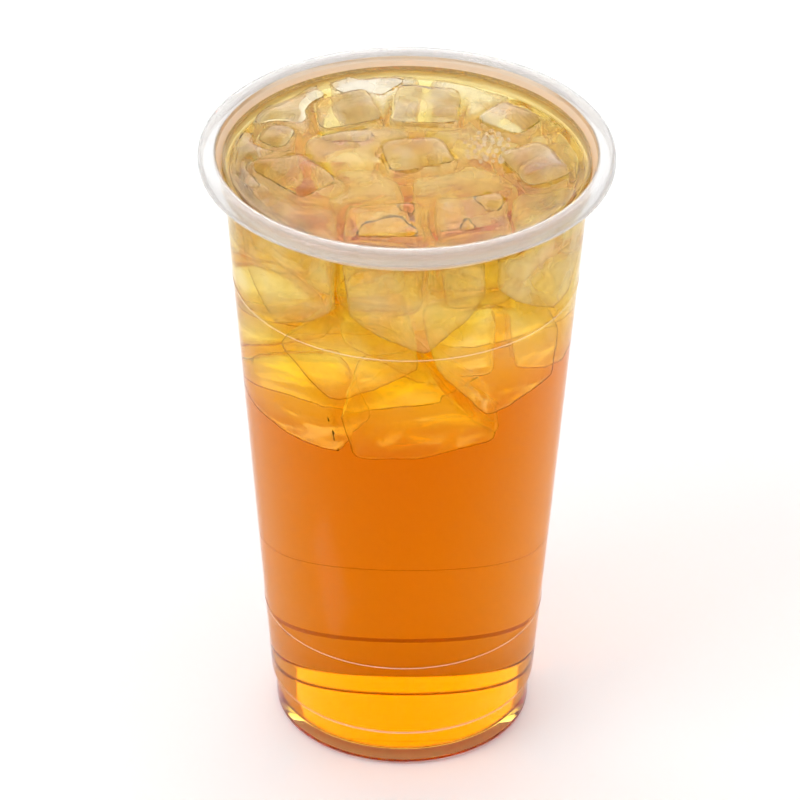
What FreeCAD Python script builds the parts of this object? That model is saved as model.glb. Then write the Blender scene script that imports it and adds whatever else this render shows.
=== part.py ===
"""Iced tea in a clear plastic cup: a thin formed cup with a rolled rim, the tea in it and the ice that floats.

Millimetres. The cup stands on its foot ring at z = 0 with its axis on Z. The front is towards -Y.
"""
import FreeCAD, Part
import math
import os
import Sketcher

doc = FreeCAD.newDocument("iced_tea")

SIZES = {
    "height": 152.0,            # foot ring to the top of the rim
    "mouth_radius": 41.75,      # outside of the wall at the ledge
    "waist_radius": 31.45,      # outside of the wall just above the step
    "wall": 0.5,                # thickness of the formed sheet
    "rim_width": 4.2,           # lip to the outer edge of the rolled rim
    "rim_depth": 3.6,           # top of the rim to the lower edge of the roll
    "rim_round": 1.8,           # roll at the outer edge
    "lip_round": 1.2,           # roll at the lip
    "lip_flare": 1.6,           # lip outside the mouth radius
    "lip_drop": 2.2,            # rim top to the foot of the lip
    "ledge_drop": 7.2,          # rim top to the stacking ledge
    "ledge_depth": 0.6,         # ledge outwards
    "shoulder_drop": 4.4,       # rim top to the start of the flare
    "upper_ring_drop": 32.2,    # rim top to the upper moulded ring
    "lower_ring_height": 30.2,  # foot to the lower moulded ring
    "ring_depth": 0.3,          # a moulded ring outwards
    "ring_half": 0.55,          # half the height of a moulded ring
    "step_height": 10.2,        # foot to the step in the wall
    "step_depth": 0.8,          # step inwards
    "step_rise": 0.6,           # height of the sloping step
    "foot_taper": 0.5,          # foot wall inwards from the step down to the corner
    "foot_round": 2.0,          # corner between wall and foot ring
    "foot_width": 1.1,          # flat of the foot ring
    "base_slope": 3.0,          # foot ring inwards to the raised floor
    "base_rise": 2.2,           # raised floor above the foot ring
    "level_drop": 4.8,          # rim top to the tea
    "tea_gap": 0.2,             # tea to the cup's wall
    "ice_gap": 0.15,            # ice to the tea round it
    "ice_depth": 19.0,          # height of an ice cube
    "ice_taper": 3.0,           # draft of a cube's sides, in degrees
    "ice_round": 2.4,           # worn edges of a cube
}

# Ice that breaks the surface. Places and sides are hundredths of the room that the wall leaves at the cubes' feet,
# so that the pack fits its cup; rise is the top face above the tea, in mm; turns are in degrees.
ICE_COLUMNS = ("x", "y", "length", "width", "slant", "rise", "yaw", "pitch", "roll")
ICE = {
    "front_left": (-13, -61.5, 49.5, 47.5, 3, 0.35, 1, 0.5, 0.5),
    "front_right": (37.5, -53.5, 44.5, 48, 2, 0.35, 4, -0.5, 0.5),
    "left": (-60, -14, 55, 40, 4, 0.9, -57, 3, -4),
    "right": (72, 2, 46, 34, 4, 1.7, -68, -3, 6),
    "centre": (7, 12, 46, 39, 4, 0.9, 12, 3, 4),
    "back_left": (-35, 60, 42, 36, 4, 2.1, 14, -3, 5),
    "back": (12, 65, 45, 40, 3, 2.3, -4, 2, 5),
    "back_right": (59, 53.5, 37, 30, 3, 1.9, -42, -4, 5),
    "far_left": (-75, 33, 30, 25, 3, 1.2, 62, 3, -3),
}


def fill_sheet():
    """The driving dimensions, one named cell each."""
    sheet = doc.addObject("Spreadsheet::Sheet", "sizes")
    cells = dict(SIZES)
    for piece, row in ICE.items():
        for column, value in zip(ICE_COLUMNS, row):
            cells[f"{piece}_{column}"] = value
    for line, (name, value) in enumerate(cells.items(), start=1):
        sheet.set(f"A{line}", name)
        sheet.set(f"B{line}", str(value))
        sheet.setAlias(f"B{line}", name)
    doc.recompute()
    return sheet


def size(name):
    return f"sizes.{name}"


def total(*terms):
    """Sum of cells; a name that starts with a minus is taken away."""
    signed = [f"- {size(term[1:])}" if term[0] == "-" else f"+ {size(term)}" for term in terms]
    return "(" + " ".join(signed).lstrip("+ ") + ")"


def wall_radius(level):
    """Outside of the tapered wall at a height."""
    run = f"({level} - {size('step_height')}) / ({LEDGE} - {size('step_height')})"
    return f"({size('waist_radius')} + ({size('mouth_radius')} - {size('waist_radius')}) * {run})"


LEDGE = total("height", "-ledge_drop")
TEA_LEVEL = total("height", "-level_drop")
LIP = total("mouth_radius", "lip_flare")
RIM = total("mouth_radius", "lip_flare", "rim_width")
RIM_FOOT = total("height", "-rim_depth")
NECK = total("waist_radius", "-step_depth")
FOOT = total("waist_radius", "-step_depth", "-foot_taper")
RING = total("waist_radius", "-step_depth", "-foot_taper", "-foot_round")
RECESS = total("waist_radius", "-step_depth", "-foot_taper", "-foot_round", "-foot_width")
FLOOR = total("waist_radius", "-step_depth", "-foot_taper", "-foot_round", "-foot_width", "-base_slope")


def draw(sketch, corners):
    """Close an outline through (x, z, round) corners, each place tied to its expression.

    A corner's third value is None for a straight run to the next corner, or the signed radius of the arc to it:
    plus turns left, minus turns right.
    """
    spots = [FreeCAD.Vector(sketch.evalExpression(x), sketch.evalExpression(z), 0) for x, z, _ in corners]
    count = len(corners)
    for index, (_, _, bend) in enumerate(corners):
        start, end = spots[index], spots[(index + 1) % count]
        if bend is None:
            sketch.addGeometry(Part.LineSegment(start, end), False)
        else:
            sketch.addGeometry(arc_between(start, end, bend, sketch), False)
    for index, (_, _, bend) in enumerate(corners):
        tip = 2 if bend is None or bend[0] == "+" else 1
        after = corners[(index + 1) % count][2]
        tail = 1 if after is None or after[0] == "+" else 2
        sketch.addConstraint(Sketcher.Constraint("Coincident", index, tip, (index + 1) % count, tail))
    for index, (x, z, bend) in enumerate(corners):
        tail = 1 if bend is None or bend[0] == "+" else 2
        pin(sketch, "DistanceX", index, tail, x)
        pin(sketch, "DistanceY", index, tail, z)
        if bend is not None:
            radius = sketch.addConstraint(Sketcher.Constraint("Radius", index, sketch.evalExpression(bend[1:])))
            sketch.setExpression(f"Constraints[{radius}]", bend[1:])


def arc_between(start, end, bend, sketch):
    """Short arc of the given radius from start to end; the sign of the bend gives its side."""
    radius = sketch.evalExpression(bend[1:])
    middle = (start + end) * 0.5
    chord = end - start
    side = 1 if bend[0] == "+" else -1
    normal = FreeCAD.Vector(-chord.y, chord.x, 0).normalize() * side
    centre = middle + normal * math.sqrt(max(radius ** 2 - (chord.Length / 2) ** 2, 0))
    crown = centre - normal * radius
    return Part.Arc(start, crown, end)


def pin(sketch, kind, index, tip, expression):
    """Tie one coordinate of a corner to an expression."""
    value = sketch.evalExpression(expression)
    constraint = sketch.addConstraint(Sketcher.Constraint(kind, -1, 1, index, tip, value))
    sketch.setExpression(f"Constraints[{constraint}]", expression)


def section_sketch(body, name):
    """Empty sketch on the body's own XZ plane: x is the radius, y the height."""
    sketch = body.newObject("Sketcher::SketchObject", name)
    plane = next(part for part in body.Origin.OriginFeatures if part.Role == "XZ_Plane")
    sketch.AttachmentSupport = [(plane, "")]
    sketch.MapMode = "FlatFace"
    return sketch


def turned_body(name, corners):
    """Body made by turning one closed outline about the axis."""
    body = doc.addObject("PartDesign::Body", name)
    sketch = section_sketch(body, f"{name}_section")
    doc.recompute()
    draw(sketch, corners)
    turn = body.newObject("PartDesign::Revolution", f"{name}_turn")
    turn.Profile = sketch
    turn.ReferenceAxis = (sketch, ["V_Axis"])
    turn.Angle = 360
    body.Tip = turn
    return body


def wall_path(inset, lift):
    """Wall from the step up to the shoulder, its corners moved in by one expression and the bends up by another."""
    path = [
        (f"{FOOT} - {inset}", size("foot_round"), None),
        (f"{NECK} - {inset}", f"{total('step_height', '-step_rise')} + {lift}", None),
        (f"{size('waist_radius')} - {inset}", f"{size('step_height')} + {lift}", None),
    ]
    for centre in (size("lower_ring_height"), total("height", "-upper_ring_drop")):
        path += ring_path(centre, inset)
    path += [
        (f"{size('mouth_radius')} - {inset}", f"{LEDGE} + {lift}", None),
        (f"{total('mouth_radius', 'ledge_depth')} - {inset}", f"{LEDGE} + {size('ledge_depth')} + {lift}", None),
    ]
    return path


def ring_path(centre, inset):
    """One moulded ring: out to its crest and back to the tapered wall."""
    low, high = f"({centre} - {size('ring_half')})", f"({centre} + {size('ring_half')})"
    return [
        (f"{wall_radius(low)} - {inset}", low, None),
        (f"{wall_radius(centre)} + {size('ring_depth')} - {inset}", centre, None),
        (f"{wall_radius(high)} - {inset}", high, None),
    ]


def rim_path():
    """Rolled rim, from the outside of the shoulder over the roll to the inside of the shoulder."""
    tuck = total("rim_depth", "-rim_round")
    wall = size("wall")
    top = size("height")
    band = total("mouth_radius", "ledge_depth")
    shoulder = total("height", "-shoulder_drop")
    lip_foot = total("height", "-lip_drop")
    return [
        (band, shoulder, None),
        (f"{LIP} + {wall}", lip_foot, None),
        (f"{LIP} + {wall}", total("height", "-lip_round"), f"-({size('lip_round')} - {wall})"),
        (f"{LIP} + {size('lip_round')}", f"{top} - {wall}", None),
        (f"{RIM} - {size('rim_round')}", f"{top} - {wall}", f"-({size('rim_round')} - {wall})"),
        (f"{RIM} - {wall}", total("height", "-rim_round"), f"-({tuck} - {wall})"),
        (f"{RIM} - {tuck}", f"{RIM_FOOT} + {wall}", None),
        (f"{RIM} - {tuck}", RIM_FOOT, f"+{tuck}"),
        (RIM, total("height", "-rim_round"), f"+{size('rim_round')}"),
        (f"{RIM} - {size('rim_round')}", top, None),
        (f"{LIP} + {size('lip_round')}", top, f"+{size('lip_round')}"),
        (LIP, total("height", "-lip_round"), None),
        (LIP, lip_foot, None),
        (f"{band} - {wall}", shoulder, None),
    ]


def make_cup():
    """Formed cup: raised floor, foot ring, step, tapered wall with two rings, ledge, flare and rolled rim."""
    wall = size("wall")
    outside = [
        ("0", size("base_rise"), None),
        (FLOOR, size("base_rise"), None),
        (RECESS, "0", None),
        (RING, "0", f"+{size('foot_round')}"),
    ] + wall_path("0", "0")
    inside = [
        ("0", total("base_rise", "wall"), None),
        (FLOOR, total("base_rise", "wall"), None),
        (RECESS, wall, None),
        (RING, wall, f"+{total('foot_round', '-wall')}"),
    ] + wall_path(wall, f"{wall} / 2")
    return turned_body("cup", outside + rim_path() + reverse(inside))


def reverse(corners):
    """The same run of corners walked the other way, each arc turning the other way."""
    bends = [bend for _, _, bend in corners]
    flipped = []
    for index in range(len(corners) - 1, -1, -1):
        bend = bends[index - 1] if index else None
        turned = None if bend is None else ("-" if bend[0] == "+" else "+") + bend[1:]
        flipped.append((corners[index][0], corners[index][1], turned))
    return flipped


def make_tea_fill():
    """Tea up to its level, clear of the wall and resting on the raised floor."""
    gap = size("tea_gap")
    inset = total("wall", "tea_gap")
    lift = f"{size('wall')} / 2"
    band = f"{total('mouth_radius', 'ledge_depth')} - {inset}"
    corners = [
        ("0", total("base_rise", "wall"), None),
        (f"{FLOOR} + {gap}", total("base_rise", "wall"), None),
        (RECESS, total("wall", "tea_gap"), None),
        (RING, total("wall", "tea_gap"), f"+({size('foot_round')} - {inset})"),
        (f"{FOOT} - {inset}", size("foot_round"), None),
        (f"{NECK} - {inset}", f"{total('step_height', '-step_rise')} + {lift}", None),
        (f"{size('waist_radius')} - {inset}", f"{size('step_height')} + {lift}", None),
        (f"{size('mouth_radius')} - {inset}", f"{LEDGE} + {lift}", None),
        (band, f"{LEDGE} + {size('ledge_depth')} + {lift}", None),
        (band, TEA_LEVEL, None),
        ("0", TEA_LEVEL, None),
    ]
    return turned_body("tea_fill", corners)


def make_ice(piece, name, growth):
    """One worn, slightly drafted cube under its top face; growth makes the larger hollow that the tea leaves for it."""
    feet = f"({TEA_LEVEL} - {size('ice_depth')})"
    unit = f"(({wall_radius(feet)} - {total('wall', 'tea_gap')}) / 100)"

    def part_of(column):
        return f"{size(f'{piece}_{column}')} * {unit}"

    body = doc.addObject("PartDesign::Body", name)
    sketch = body.newObject("Sketcher::SketchObject", f"{name}_top")
    plane = next(part for part in body.Origin.OriginFeatures if part.Role == "XY_Plane")
    sketch.AttachmentSupport = [(plane, "")]
    sketch.MapMode = "FlatFace"
    doc.recompute()
    half_length = f"({part_of('length')} / 2 + {growth})"
    half_width = f"({part_of('width')} / 2 + {growth})"
    slant = part_of("slant")
    draw(sketch, [
        (f"-{half_length}", f"-{half_width}", None),
        (half_length, f"-{half_width} + {slant}", None),
        (f"{half_length} - {slant}", half_width, None),
        (f"-{half_length} + {slant} / 2", f"{half_width} - {slant} / 2", None),
    ])
    pad = body.newObject("PartDesign::Pad", f"{name}_block")
    pad.Profile = sketch
    pad.Reversed = True
    pad.setExpression("Length", f"{size('ice_depth')} + 2 * {growth}")
    pad.setExpression("TaperAngle", f"-{size('ice_taper')}")
    worn = body.newObject("PartDesign::Fillet", f"{name}_worn")
    worn.Base = (pad, [""])
    worn.UseAllEdges = True
    worn.setExpression("Radius", f"{size('ice_round')} + {growth}")
    body.Tip = worn
    turns = "; ".join(size(f"{piece}_{turn}") for turn in ("yaw", "pitch", "roll"))
    top = f"{TEA_LEVEL} + {size(f'{piece}_rise')} + {growth}"
    body.setExpression(
        "Placement",
        f"placement(vector({part_of('x')}; {part_of('y')}; {top}); rotation({turns}))",
    )
    return body


def make_tea(fill, hollows):
    """The tea less the hollows that the floating ice takes up."""
    tools = doc.addObject("Part::Compound", "ice_hollows")
    tools.Links = hollows
    tea = doc.addObject("Part::Cut", "tea")
    tea.Base = fill
    tea.Tool = tools
    return tea


def check(objects):
    """Stop unless every feature is sound."""
    for item in doc.Objects:
        if "Invalid" in item.State or "Error" in item.State:
            raise RuntimeError(f"{item.Name}: {item.State}")
    for item in objects:
        if item.Shape.isNull() or not item.Shape.isValid():
            raise RuntimeError(f"{item.Label}: shape is not valid")
        if len(item.Shape.Solids) != 1:
            raise RuntimeError(f"{item.Label}: {len(item.Shape.Solids)} solids")


fill_sheet()
cup = make_cup()
fill = make_tea_fill()
ice = [make_ice(piece, f"ice_{piece}", "0") for piece in ICE]
hollows = [make_ice(piece, f"hollow_{piece}", size("ice_gap")) for piece in ICE]
tea = make_tea(fill, hollows)
nodes = [cup, tea] + ice
for node in nodes:
    node.Label = node.Name
doc.recompute()
check(nodes)
os.makedirs("parts", exist_ok=True)
for node in nodes:
    node.Shape.exportStep(f"parts/{node.Label}.step")
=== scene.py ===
"""Looks of the iced tea: a clear formed cup, amber tea in it, and wet ice floating and sunk in the tea."""
import math

import bmesh
import bpy
from mathutils import Matrix, Vector, noise


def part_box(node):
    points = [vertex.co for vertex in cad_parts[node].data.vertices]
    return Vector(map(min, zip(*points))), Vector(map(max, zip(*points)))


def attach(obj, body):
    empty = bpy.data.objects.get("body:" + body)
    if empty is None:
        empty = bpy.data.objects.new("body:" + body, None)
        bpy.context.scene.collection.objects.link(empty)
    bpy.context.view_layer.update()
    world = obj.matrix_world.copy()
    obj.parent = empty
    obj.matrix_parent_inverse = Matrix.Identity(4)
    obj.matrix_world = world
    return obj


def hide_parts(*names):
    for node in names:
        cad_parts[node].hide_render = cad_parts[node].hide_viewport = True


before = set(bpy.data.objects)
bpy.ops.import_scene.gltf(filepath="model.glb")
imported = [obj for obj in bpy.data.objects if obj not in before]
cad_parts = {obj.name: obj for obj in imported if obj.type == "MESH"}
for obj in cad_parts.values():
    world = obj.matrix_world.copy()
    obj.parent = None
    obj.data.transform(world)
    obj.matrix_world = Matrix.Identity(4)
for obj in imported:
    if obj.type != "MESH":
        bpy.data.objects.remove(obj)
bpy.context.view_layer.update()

MM = 0.001
TURN_STEPS = 224

# Sizes of the cup and the tea's level, in millimetres.
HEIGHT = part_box("cup")[1][2] / MM
TEA_LEVEL = HEIGHT - 4.8
WALL = 0.5
WAIST = 31.45
MOUTH = 41.75
STEP = 10.2
FLOATING_LOWEST = 130
LEDGE_DROP = 7.2
LOWER_RING = 30.2
UPPER_RING = HEIGHT - 32.2
RIM_DEPTH = 3.4
NECK_DEPTH = 9

# Tea climbs this far up the wall, and falls off over this reach.
CLIMB = 2.0
CLIMB_REACH = 2.5

# Camera: a long lens that looks down on the mouth.
VIEW_ELEVATION = math.radians(32.92)
VIEW_DISTANCE = 1.3
VIEW_ROLL = math.radians(0.47)
VIEW_LENS = 250.6
VIEW_TARGET = Vector((0, 0, 0.08356))

# Cluster of bubbles: how many, round which place, and the turn from one to the next.
BUBBLE_COUNT = 34
BUBBLE_PLACE = (18.5, 8)
BUBBLE_TURN = 2.4

# Clearances of the sunk ice: between blocks, from the wall, and from the floating ice.
CELL_GAP = 1.9
WALL_GAP = 0.9
FLOAT_GAP = 1.1
ICE_OVERLAP = 0.12

# Grain of the ice: mesh size, depth of its dents and of its fine ripples.
ICE_VOXEL = 1.1
ICE_DENT = 0.9
ICE_RIPPLE = 0.25

# Sunk ice: the seed of each block and the heights between which it is cut, in millimetres.
SUNK = []
SUNK_SPANS = []


def layer(seeds, low, high):
    """Add blocks whose seeds share one pair of cutting heights."""
    for seed in seeds:
        SUNK.append(Vector(seed))
        SUNK_SPANS.append((low, high))


layer([(11, -6, 138), (-12, 8, 136), (19, 12, 137), (-24, -24, 136), (32, -20, 136), (-26, 26, 136), (-11, -8, 137),
       (-33, 1, 136), (16, 34, 136), (-8, 36, 136), (36, 12, 137), (0, -37, 136), (33, 25, 137)], 120, 146.3)
layer([(2, -2, 117), (16, -22, 118), (-10, -26, 116), (-27, -6, 118), (-15, 21, 116), (9, 25, 117), (28, 4, 118)],
      100, 134)
layer([(-20, -17, 99), (-2, -24, 104), (-14, 6, 101)], 92, 116)


# ---------------------------------------------------------------- paths

def arc_corner(before, corner, after, radius, steps=5):
    """Points that round one corner of a path with an arc of the given radius."""
    back = (before - corner).normalized()
    ahead = (after - corner).normalized()
    half = back.angle(ahead) / 2
    if half > math.radians(89.5):
        return [corner]
    room = min((before - corner).length, (after - corner).length) * 0.49
    reach = min(radius / math.tan(half), room)
    fillet = reach * math.tan(half)
    centre = corner + (back + ahead).normalized() * (fillet / math.sin(half))
    start = corner + back * reach - centre
    turn = math.pi - 2 * half
    if back.x * ahead.y - back.y * ahead.x > 0:
        turn = -turn
    points = []
    for step in range(steps + 1):
        angle = turn * step / steps
        cos, sin = math.cos(angle), math.sin(angle)
        points.append(centre + Vector((start.x * cos - start.y * sin, start.x * sin + start.y * cos)))
    return points


def rounded_path(corners):
    """Smooth path through (radius, height, rounding) corners."""
    spots = [Vector((r, z)) for r, z, _ in corners]
    path = [spots[0]]
    for index in range(1, len(corners) - 1):
        path += arc_corner(spots[index - 1], spots[index], spots[index + 1], corners[index][2])
    path.append(spots[-1])
    return path


def offset_path(path, distance):
    """The path moved to its right by a distance."""
    moved = []
    for index, point in enumerate(path):
        before = path[max(index - 1, 0)]
        after = path[min(index + 1, len(path) - 1)]
        along = (after - before).normalized()
        moved.append(point + Vector((along.y, -along.x)) * distance)
    return moved


def wall_radius(height):
    """Outside of the tapered wall at a height."""
    return WAIST + (MOUTH - WAIST) * (height - STEP) / (HEIGHT - LEDGE_DROP - STEP)


def fine_ring(height):
    """Corners of one fine ring pressed out of the wall."""
    return [
        (wall_radius(height - 0.75), height - 0.75, 0.4),
        (wall_radius(height) + 0.13, height, 0.6),
        (wall_radius(height + 0.75), height + 0.75, 0.4),
    ]


def sheet_path(rings):
    """Outside of the formed sheet from the middle of the floor, out and up the wall, and over the rolled rim."""
    foot = WAIST - 0.8
    corners = [(0, 2.2, 0), (foot - 6.6, 2.2, 1.5), (foot - 3.6, 0, 0.8), (foot - 0.5, 0, 2.0)]
    corners += [(foot, STEP - 0.6, 0.5), (WAIST, STEP, 0.6)]
    if rings:
        corners += fine_ring(LOWER_RING) + fine_ring(UPPER_RING)
    corners += [(MOUTH, HEIGHT - LEDGE_DROP, 0.5), (MOUTH + 0.6, HEIGHT - 6.6, 0.5), (MOUTH + 0.6, HEIGHT - 4.4, 1.2)]
    corners += [(MOUTH + 2.05, HEIGHT - 2.2, 0.8), (MOUTH + 2.05, HEIGHT - 0.5, 0.7), (47.0, HEIGHT - 0.5, 1.3)]
    corners += [(47.0, HEIGHT - 3.1, 0.7), (46.3, HEIGHT - 3.1, 0)]
    return rounded_path(corners)


# ---------------------------------------------------------------- meshes

def new_object(name, mesh):
    """Object with the given data, linked to the scene."""
    obj = bpy.data.objects.new(name, mesh)
    bpy.context.scene.collection.objects.link(obj)
    return obj


def lathe(name, outline):
    """Solid of revolution of a closed (radius, height) outline in millimetres, with smooth faces."""
    mesh = bpy.data.meshes.new(name)
    build = bmesh.new()
    rings = []
    for point in outline:
        if point.x < 1e-4:
            rings.append([build.verts.new((0, 0, point.y * MM))])
            continue
        ring = []
        for step in range(TURN_STEPS):
            angle = math.tau * step / TURN_STEPS
            ring.append(build.verts.new((point.x * math.cos(angle) * MM, point.x * math.sin(angle) * MM, point.y * MM)))
        rings.append(ring)
    for low, high in zip(rings, rings[1:] + rings[:1]):
        if len(low) == 1 and len(high) == 1:
            continue
        for step in range(TURN_STEPS):
            after = (step + 1) % TURN_STEPS
            if len(low) == 1:
                build.faces.new((low[0], high[after], high[step]))
            elif len(high) == 1:
                build.faces.new((low[step], low[after], high[0]))
            else:
                build.faces.new((low[step], low[after], high[after], high[step]))
    bmesh.ops.recalc_face_normals(build, faces=build.faces)
    for face in build.faces:
        face.smooth = True
    build.to_mesh(mesh)
    build.free()
    return new_object(name, mesh)


def modified(obj, name):
    """Object's mesh with its modifiers applied."""
    bpy.context.view_layer.update()
    mesh = bpy.data.meshes.new_from_object(obj.evaluated_get(bpy.context.evaluated_depsgraph_get()))
    mesh.name = name
    obj.modifiers.clear()
    obj.data = mesh
    return obj


def make_cup():
    """The formed cup as one closed sheet."""
    outside = sheet_path(True)
    inside = offset_path(sheet_path(False), -WALL)
    inside[0].x = 0
    return lathe("cup_sheet", outside + inside[::-1])


def make_tea_outline():
    """Tea, its side just inside the wall, with a meniscus that climbs the wall."""
    wall = []
    for point in offset_path(sheet_path(False), -WALL * 0.6):
        if point.y > TEA_LEVEL:
            break
        wall.append(point)
    wall[0].x = 0
    edge = wall[-1].x
    wall.append(Vector((edge, TEA_LEVEL + CLIMB)))
    for step in range(1, 25):
        reach = 14 * (step / 24) ** 1.6
        wall.append(Vector((edge - reach, TEA_LEVEL + CLIMB * math.exp(-reach / CLIMB_REACH))))
    for share in (0.6, 0.5, 0.4, 0.3, 0.2, 0.1, 0):
        wall.append(Vector((edge * share, TEA_LEVEL)))
    return wall


def wear(obj, name, seed, rounds=6):
    """Turn a plain block into worn, slightly melted ice: rounder, dented and rippled."""
    remesh = obj.modifiers.new("remesh", "REMESH")
    remesh.mode = "VOXEL"
    remesh.voxel_size = ICE_VOXEL * MM
    smooth = obj.modifiers.new("smooth", "SMOOTH")
    smooth.iterations = rounds
    modified(obj, name)
    shift = Vector((seed * 7.3, seed * 3.1, seed * 5.7))
    normals = [vertex.normal.copy() for vertex in obj.data.vertices]
    for vertex, normal in zip(obj.data.vertices, normals):
        place = vertex.co / MM
        broad = noise.noise(place / 11 + shift)
        fine = noise.noise(place / 4.2 + shift * 2)
        vertex.co += normal * (broad * ICE_DENT + fine * ICE_RIPPLE - 0.25 * ICE_DENT) * MM
    for face in obj.data.polygons:
        face.use_smooth = True
    obj.data.update()
    return obj


def floating_ice(node, seed):
    """Detailed ice in the place of one packed cube."""
    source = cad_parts[node]
    mesh = source.data.copy()
    mesh.materials.clear()
    build = bmesh.new()
    build.from_mesh(mesh)
    bmesh.ops.remove_doubles(build, verts=build.verts, dist=0.02 * MM)
    build.to_mesh(mesh)
    build.free()
    obj = new_object(node + "_worn", mesh)
    return wear(obj, node + "_worn", seed)


def grown(mesh, reach):
    """Copy of a smooth mesh moved outwards along its normals."""
    copy = mesh.copy()
    for vertex, source in zip(copy.vertices, mesh.vertices):
        vertex.co = source.co + source.normal * reach * MM
    return copy


def boolean(obj, tool, operation):
    """Cut one closed mesh with another."""
    cut = obj.modifiers.new("cut", "BOOLEAN")
    cut.operation = operation
    cut.solver = "MANIFOLD"
    cut.object = tool
    modified(obj, obj.name)


def ice_cell(name, seed, others, low, high):
    """Block of ice round a seed: a cell cut by planes half way to its neighbours, the wall, and two heights."""
    mesh = bpy.data.meshes.new(name)
    build = bmesh.new()
    bmesh.ops.create_cube(build, size=60 * MM)
    bmesh.ops.translate(build, vec=seed * MM, verts=build.verts)
    planes = [(Vector((0, 0, high)), Vector((0.05, -0.04, 1))), (Vector((0, 0, low)), Vector((0.06, 0.05, -1)))]
    for other in others:
        away = other - seed
        if 1 < away.length < 60:
            planes.append((seed + away / 2 - away.normalized() * CELL_GAP / 2, away.normalized()))
    facing = math.atan2(seed.y, seed.x)
    for turn in range(-80, 81, 20):
        angle = facing + math.radians(turn)
        out = Vector((math.cos(angle), math.sin(angle), -0.087))
        reach = wall_radius(seed.z) - WALL - WALL_GAP
        planes.append((Vector((out.x * reach, out.y * reach, seed.z)), out))
    for point, normal in planes:
        cut = bmesh.ops.bisect_plane(
            build, geom=build.verts[:] + build.edges[:] + build.faces[:], dist=1e-7,
            plane_co=point * MM, plane_no=normal, clear_outer=True,
        )
        edges = [part for part in cut["geom_cut"] if isinstance(part, bmesh.types.BMEdge)]
        if edges:
            bmesh.ops.edgeloop_fill(build, edges=edges)
    bmesh.ops.recalc_face_normals(build, faces=build.faces)
    build.to_mesh(mesh)
    build.free()
    return new_object(name, mesh)


def keep_largest(obj):
    """Drop all but the largest connected lump."""
    build = bmesh.new()
    build.from_mesh(obj.data)
    left, lumps = set(build.verts), []
    while left:
        stack, lump = [left.pop()], []
        while stack:
            vertex = stack.pop()
            lump.append(vertex)
            for edge in vertex.link_edges:
                other = edge.other_vert(vertex)
                if other in left:
                    left.remove(other)
                    stack.append(other)
        lumps.append(lump)
    lumps.sort(key=len)
    for lump in lumps[:-1]:
        bmesh.ops.delete(build, geom=lump, context="VERTS")
    build.to_mesh(obj.data)
    build.free()


def carve(tea, pieces):
    """Hollow the tea round the ice, so that each piece reaches just into the tea."""
    build = bmesh.new()
    for piece in pieces:
        build.from_mesh(grown(piece.data, -ICE_OVERLAP))
    joined = bpy.data.meshes.new("hollows")
    build.to_mesh(joined)
    build.free()
    tool = new_object("hollows", joined)
    boolean(tea, tool, "DIFFERENCE")
    bpy.data.objects.remove(tool)
    for face in tea.data.polygons:
        face.use_smooth = True


def make_bubbles():
    """Small bubbles that float in a loose cluster beside the ice."""
    build = bmesh.new()
    shift = Vector((3.1, 7.7, 1.3))
    for number in range(BUBBLE_COUNT):
        turn = number * BUBBLE_TURN
        reach = 1.15 * math.sqrt(number + 0.5)
        size = 0.45 + 0.55 * abs(noise.noise(shift * number))
        x = BUBBLE_PLACE[0] + 0.85 * reach * math.cos(turn)
        y = BUBBLE_PLACE[1] + 1.15 * reach * math.sin(turn)
        place = Matrix.Translation(Vector((x, y, TEA_LEVEL + 0.35 * size)) * MM)
        bmesh.ops.create_icosphere(build, subdivisions=3, radius=size * MM, matrix=place)
    for face in build.faces:
        face.smooth = True
    mesh = bpy.data.meshes.new("bubbles")
    build.to_mesh(mesh)
    build.free()
    return new_object("bubbles", mesh)


# ---------------------------------------------------------------- materials

def principled(name, **inputs):
    """Material with one Principled shader and the given socket values."""
    material = bpy.data.materials.new(name)
    material.use_nodes = True
    shader = material.node_tree.nodes["Principled BSDF"]
    for socket, value in inputs.items():
        shader.inputs[socket.replace("_", " ")].default_value = value
    return material


def paint(obj, material):
    """Give a piece its material, body and slot."""
    obj.data.materials.clear()
    obj.data.materials.append(material)
    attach(obj, "root")


def clear_material(name, color, rough, ior, gloss, clear=1.0):
    """Transparent material; gloss scales its head-on reflection."""
    material = principled(name, Base_Color=(*color, 1), Roughness=rough, IOR=ior, Transmission_Weight=clear)
    material.node_tree.nodes["Principled BSDF"].inputs["Specular Tint"].default_value = (gloss, gloss, gloss, 1)
    return material


def tea_material():
    """Clear liquid whose tint comes from its depth alone."""
    material = clear_material("amber_tea", (1, 1, 1), 0.0, 1.34, 0.05)
    nodes, links = material.node_tree.nodes, material.node_tree.links
    absorb = nodes.new("ShaderNodeVolumeAbsorption")
    absorb.inputs["Color"].default_value = (0.973, 0.866, 0.06, 1)
    absorb.inputs["Density"].default_value = 188
    links.new(absorb.outputs["Volume"], nodes["Material Output"].inputs["Volume"])
    return material


def add_node(material, kind, **inputs):
    """Node whose sockets are set by value, or linked when an output is given."""
    node = material.node_tree.nodes.new(kind)
    for socket, value in inputs.items():
        target = node.inputs[int(socket[1:])] if socket[1:].isdigit() else node.inputs[socket.replace("_", " ")]
        if isinstance(value, bpy.types.NodeSocket):
            material.node_tree.links.new(value, target)
        else:
            target.default_value = value
    return node


def ramp(material, value, start, end, low, high):
    """Smooth step of a value between two heights."""
    node = add_node(material, "ShaderNodeMapRange", Value=value, From_Min=start, From_Max=end, To_Min=low, To_Max=high)
    node.interpolation_type = "SMOOTHSTEP"
    return node.outputs["Result"]


def math_node(material, operation, first, second):
    """Result of one operation on two values or outputs."""
    node = add_node(material, "ShaderNodeMath", _0=first, _1=second)
    node.operation = operation
    return node.outputs["Value"]


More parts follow.
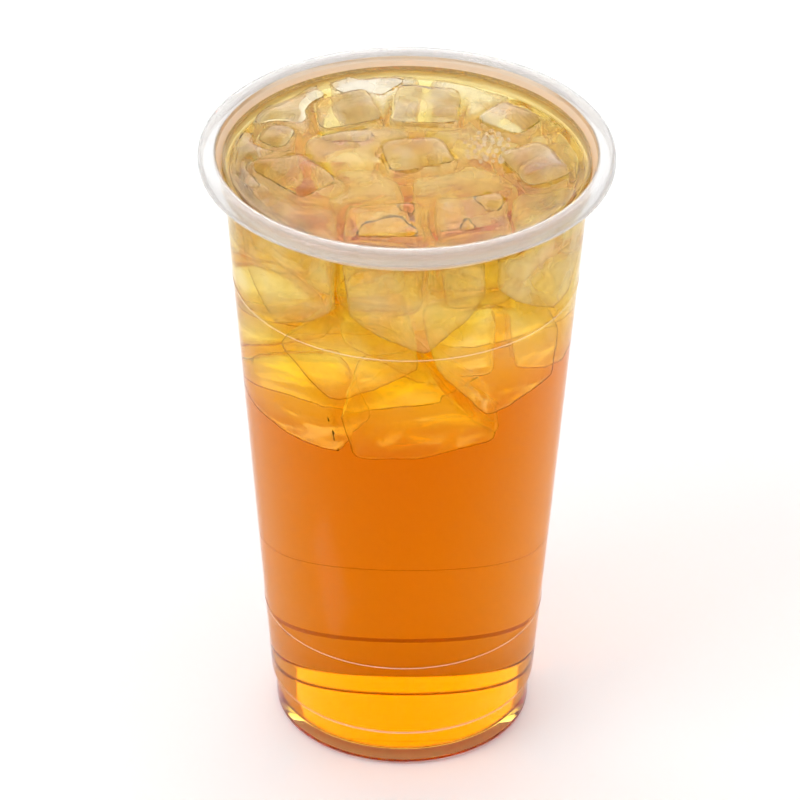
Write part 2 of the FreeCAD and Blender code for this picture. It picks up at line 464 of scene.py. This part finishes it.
def ice_material(name, cloud):
    """Wet ice, clearer at its top and with depth, with frosty patches between."""
    material = clear_material(name, (1, 0.965, 0.9), 0.0, 1.33, 0.2)
    place = add_node(material, "ShaderNodeTexCoord").outputs["Object"]
    height = add_node(material, "ShaderNodeSeparateXYZ", Vector=place).outputs["Z"]
    deep = ramp(material, height, (TEA_LEVEL - 50) * MM, (TEA_LEVEL - 12) * MM, 0, cloud)
    top = ramp(material, height, (TEA_LEVEL - 8) * MM, (TEA_LEVEL + 1) * MM, 1, 0.4)
    pattern = add_node(material, "ShaderNodeTexNoise", Vector=place, Scale=110, Detail=3).outputs["Fac"]
    patches = ramp(material, pattern, 0.38, 0.62, 0.3, 1.4)
    frost = math_node(material, "MULTIPLY", math_node(material, "MULTIPLY", deep, top), patches)
    shader = material.node_tree.nodes["Principled BSDF"]
    material.node_tree.links.new(math_node(material, "SUBTRACT", 1, frost), shader.inputs["Transmission Weight"])
    return material


def frost_at(place):
    """Frost of a block by its place in metres: most at the back right of the cup, least at the front left."""
    toward = (place[0] * 0.5 + place[1]) / (MOUTH * MM)
    return min(max(0.24 + 0.3 * toward, 0.08), 0.5)


# ---------------------------------------------------------------- the drink

def cup_zone(face):
    """Material of a face of the cup: 0 wall, 1 rim, 2 moulded ring, 3 frosted neck, 4 neck wetted by the tea."""
    height = face.center.z / MM
    if TEA_LEVEL - 0.5 < height < HEIGHT - 0.8 and face.center.xy.length < (MOUTH + 2) * MM:
        return 4
    if height > HEIGHT - RIM_DEPTH:
        return 1
    if height > HEIGHT - NECK_DEPTH:
        return 3
    rings = (LOWER_RING, UPPER_RING, STEP, HEIGHT - LEDGE_DROP)
    return 2 if min(abs(height - ring) for ring in rings) < 0.35 else 0


cup = make_cup()
paint(cup, clear_material("clear_sheet", (0.99, 0.985, 0.98), 0, 1.14, 0.15))
cup.data.materials.append(clear_material("rim_sheet", (0.84, 0.83, 0.825), 0.15, 1.4, 0.8, clear=0.8))
cup.data.materials.append(clear_material("ring_sheet", (1, 0.97, 0.93), 0, 1.14, 0.4, clear=0.5))
cup.data.materials.append(clear_material("neck_sheet", (1, 0.95, 0.87), 0, 1.14, 0.3, clear=0.62))
cup.data.materials.append(clear_material("wet_sheet", (0.9, 0.72, 0.54), 0, 1.14, 0.3, clear=0.55))
for face in cup.data.polygons:
    face.material_index = cup_zone(face)
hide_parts("cup")

floating = []
for seed, node in enumerate(sorted(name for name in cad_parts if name.startswith("ice_"))):
    piece = floating_ice(node, seed + 1)
    paint(piece, ice_material(f"floating_{seed}", frost_at(sum(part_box(node), Vector()) / 2)))
    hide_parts(node)
    floating.append(piece)

shells = [new_object(piece.name + "_shell", grown(piece.data, FLOAT_GAP)) for piece in floating]
sunk = []
for number, (seed, span) in enumerate(zip(SUNK, SUNK_SPANS)):
    cell = ice_cell(f"sunk_ice_{number}", seed, SUNK, *span)
    if span[1] > FLOATING_LOWEST:
        for shell in shells:
            boolean(cell, shell, "DIFFERENCE")
    keep_largest(cell)
    wear(cell, cell.name, 20 + number, rounds=24)
    paint(cell, ice_material(f"sunk_{number}", frost_at(seed * MM) + 0.1))
    sunk.append(cell)
for shell in shells:
    bpy.data.objects.remove(shell)

bubbles = make_bubbles()
paint(bubbles, clear_material("foam_film", (1, 0.99, 0.97), 0.0, 1.2, 1.0, clear=0.8))

tea = lathe("tea_body", make_tea_outline())
carve(tea, floating + sunk)
paint(tea, tea_material())
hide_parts("tea")


# ---------------------------------------------------------------- the set

def seen_rays(tree, socket, other, seen):
    """Set a socket to one value for the rays that see the background, and to another for the rest."""
    path = tree.nodes.new("ShaderNodeLightPath")
    first = tree.nodes.new("ShaderNodeMath")
    first.operation = "MAXIMUM"
    second = tree.nodes.new("ShaderNodeMath")
    second.operation = "MAXIMUM"
    spread = tree.nodes.new("ShaderNodeMapRange")
    spread.inputs["To Min"].default_value = other
    spread.inputs["To Max"].default_value = seen
    tree.links.new(path.outputs["Is Camera Ray"], first.inputs[0])
    tree.links.new(path.outputs["Is Glossy Ray"], first.inputs[1])
    tree.links.new(first.outputs[0], second.inputs[0])
    tree.links.new(path.outputs["Is Transmission Ray"], second.inputs[1])
    tree.links.new(second.outputs[0], spread.inputs["Value"])
    tree.links.new(spread.outputs["Result"], socket)


def make_floor():
    """Wide pale floor under the cup."""
    mesh = bpy.data.meshes.new("floor")
    build = bmesh.new()
    bmesh.ops.create_grid(build, x_segments=1, y_segments=1, size=4)
    build.to_mesh(mesh)
    build.free()
    floor = new_object("floor", mesh)
    material = principled("pale_floor", Base_Color=(0.93, 0.93, 0.93, 1), Roughness=0.8, Emission_Color=(1, 1, 1, 1))
    seen_rays(material.node_tree, material.node_tree.nodes["Principled BSDF"].inputs["Emission Strength"], 0, 0.08)
    floor.data.materials.append(material)


def area_lamp(name, place, aim, sides, radiance, color=(1, 1, 1)):
    """Soft rectangular lamp that the camera doesn't see, of a given radiance."""
    light = bpy.data.lights.new(name, "AREA")
    light.shape = "RECTANGLE"
    light.size, light.size_y = sides
    light.energy = radiance * math.pi * sides[0] * sides[1]
    light.color = color
    lamp = new_object(name, light)
    lamp.location = place
    lamp.rotation_euler = (Vector(aim) - Vector(place)).to_track_quat("-Z", "Y").to_euler()
    lamp.visible_camera = False
    return lamp


def make_lamps():
    """A wide lamp behind, a small one in front, and a low strip that only reflections show."""
    sheen = area_lamp("sheen_lamp", (-0.07, -0.058, 0.001), (-0.07, -0.058, 1), (0.045, 0.024), 3)
    sheen.visible_diffuse = False
    sheen.visible_transmission = False
    area_lamp("back_lamp", (-0.1, 1.3, 0.85), (0, 0, 0.05), (2.2, 0.9), 1.5)
    area_lamp("key_lamp", (-0.7, -0.5, 1.1), (0, 0, 0.08), (0.6, 0.6), 3)


def make_world():
    """White surroundings."""
    world = bpy.data.worlds.new("white_room")
    bpy.context.scene.world = world
    world.use_nodes = True
    back = world.node_tree.nodes["Background"]
    back.inputs["Color"].default_value = (1, 1, 1, 1)
    seen_rays(world.node_tree, back.inputs["Strength"], 0.8, 1)


def make_camera():
    """Long lens that looks down on the mouth from the front."""
    camera = bpy.data.objects.new("camera", bpy.data.cameras.new("camera"))
    bpy.context.scene.collection.objects.link(camera)
    camera.data.lens = VIEW_LENS
    camera.data.sensor_width = 36
    camera.data.clip_end = 20
    away = Vector((0, -math.cos(VIEW_ELEVATION), math.sin(VIEW_ELEVATION)))
    camera.location = VIEW_TARGET + away * VIEW_DISTANCE + Vector((-0.0011, 0, 0))
    aim = (-away).to_track_quat("-Z", "Y").to_matrix().to_4x4()
    camera.matrix_world = Matrix.Translation(camera.location) @ aim @ Matrix.Rotation(VIEW_ROLL, 4, "Z")
    bpy.context.scene.camera = camera


make_floor()
make_world()
make_lamps()
make_camera()
scene = bpy.context.scene
scene.view_settings.view_transform = "Standard"
scene.cycles.blur_glossy = 0
scene.cycles.adaptive_threshold = 0.2
scene.cycles.max_bounces = 42
scene.cycles.diffuse_bounces = 8
scene.cycles.glossy_bounces = 36
scene.cycles.transmission_bounces = 42
scene.cycles.transparent_max_bounces = 16
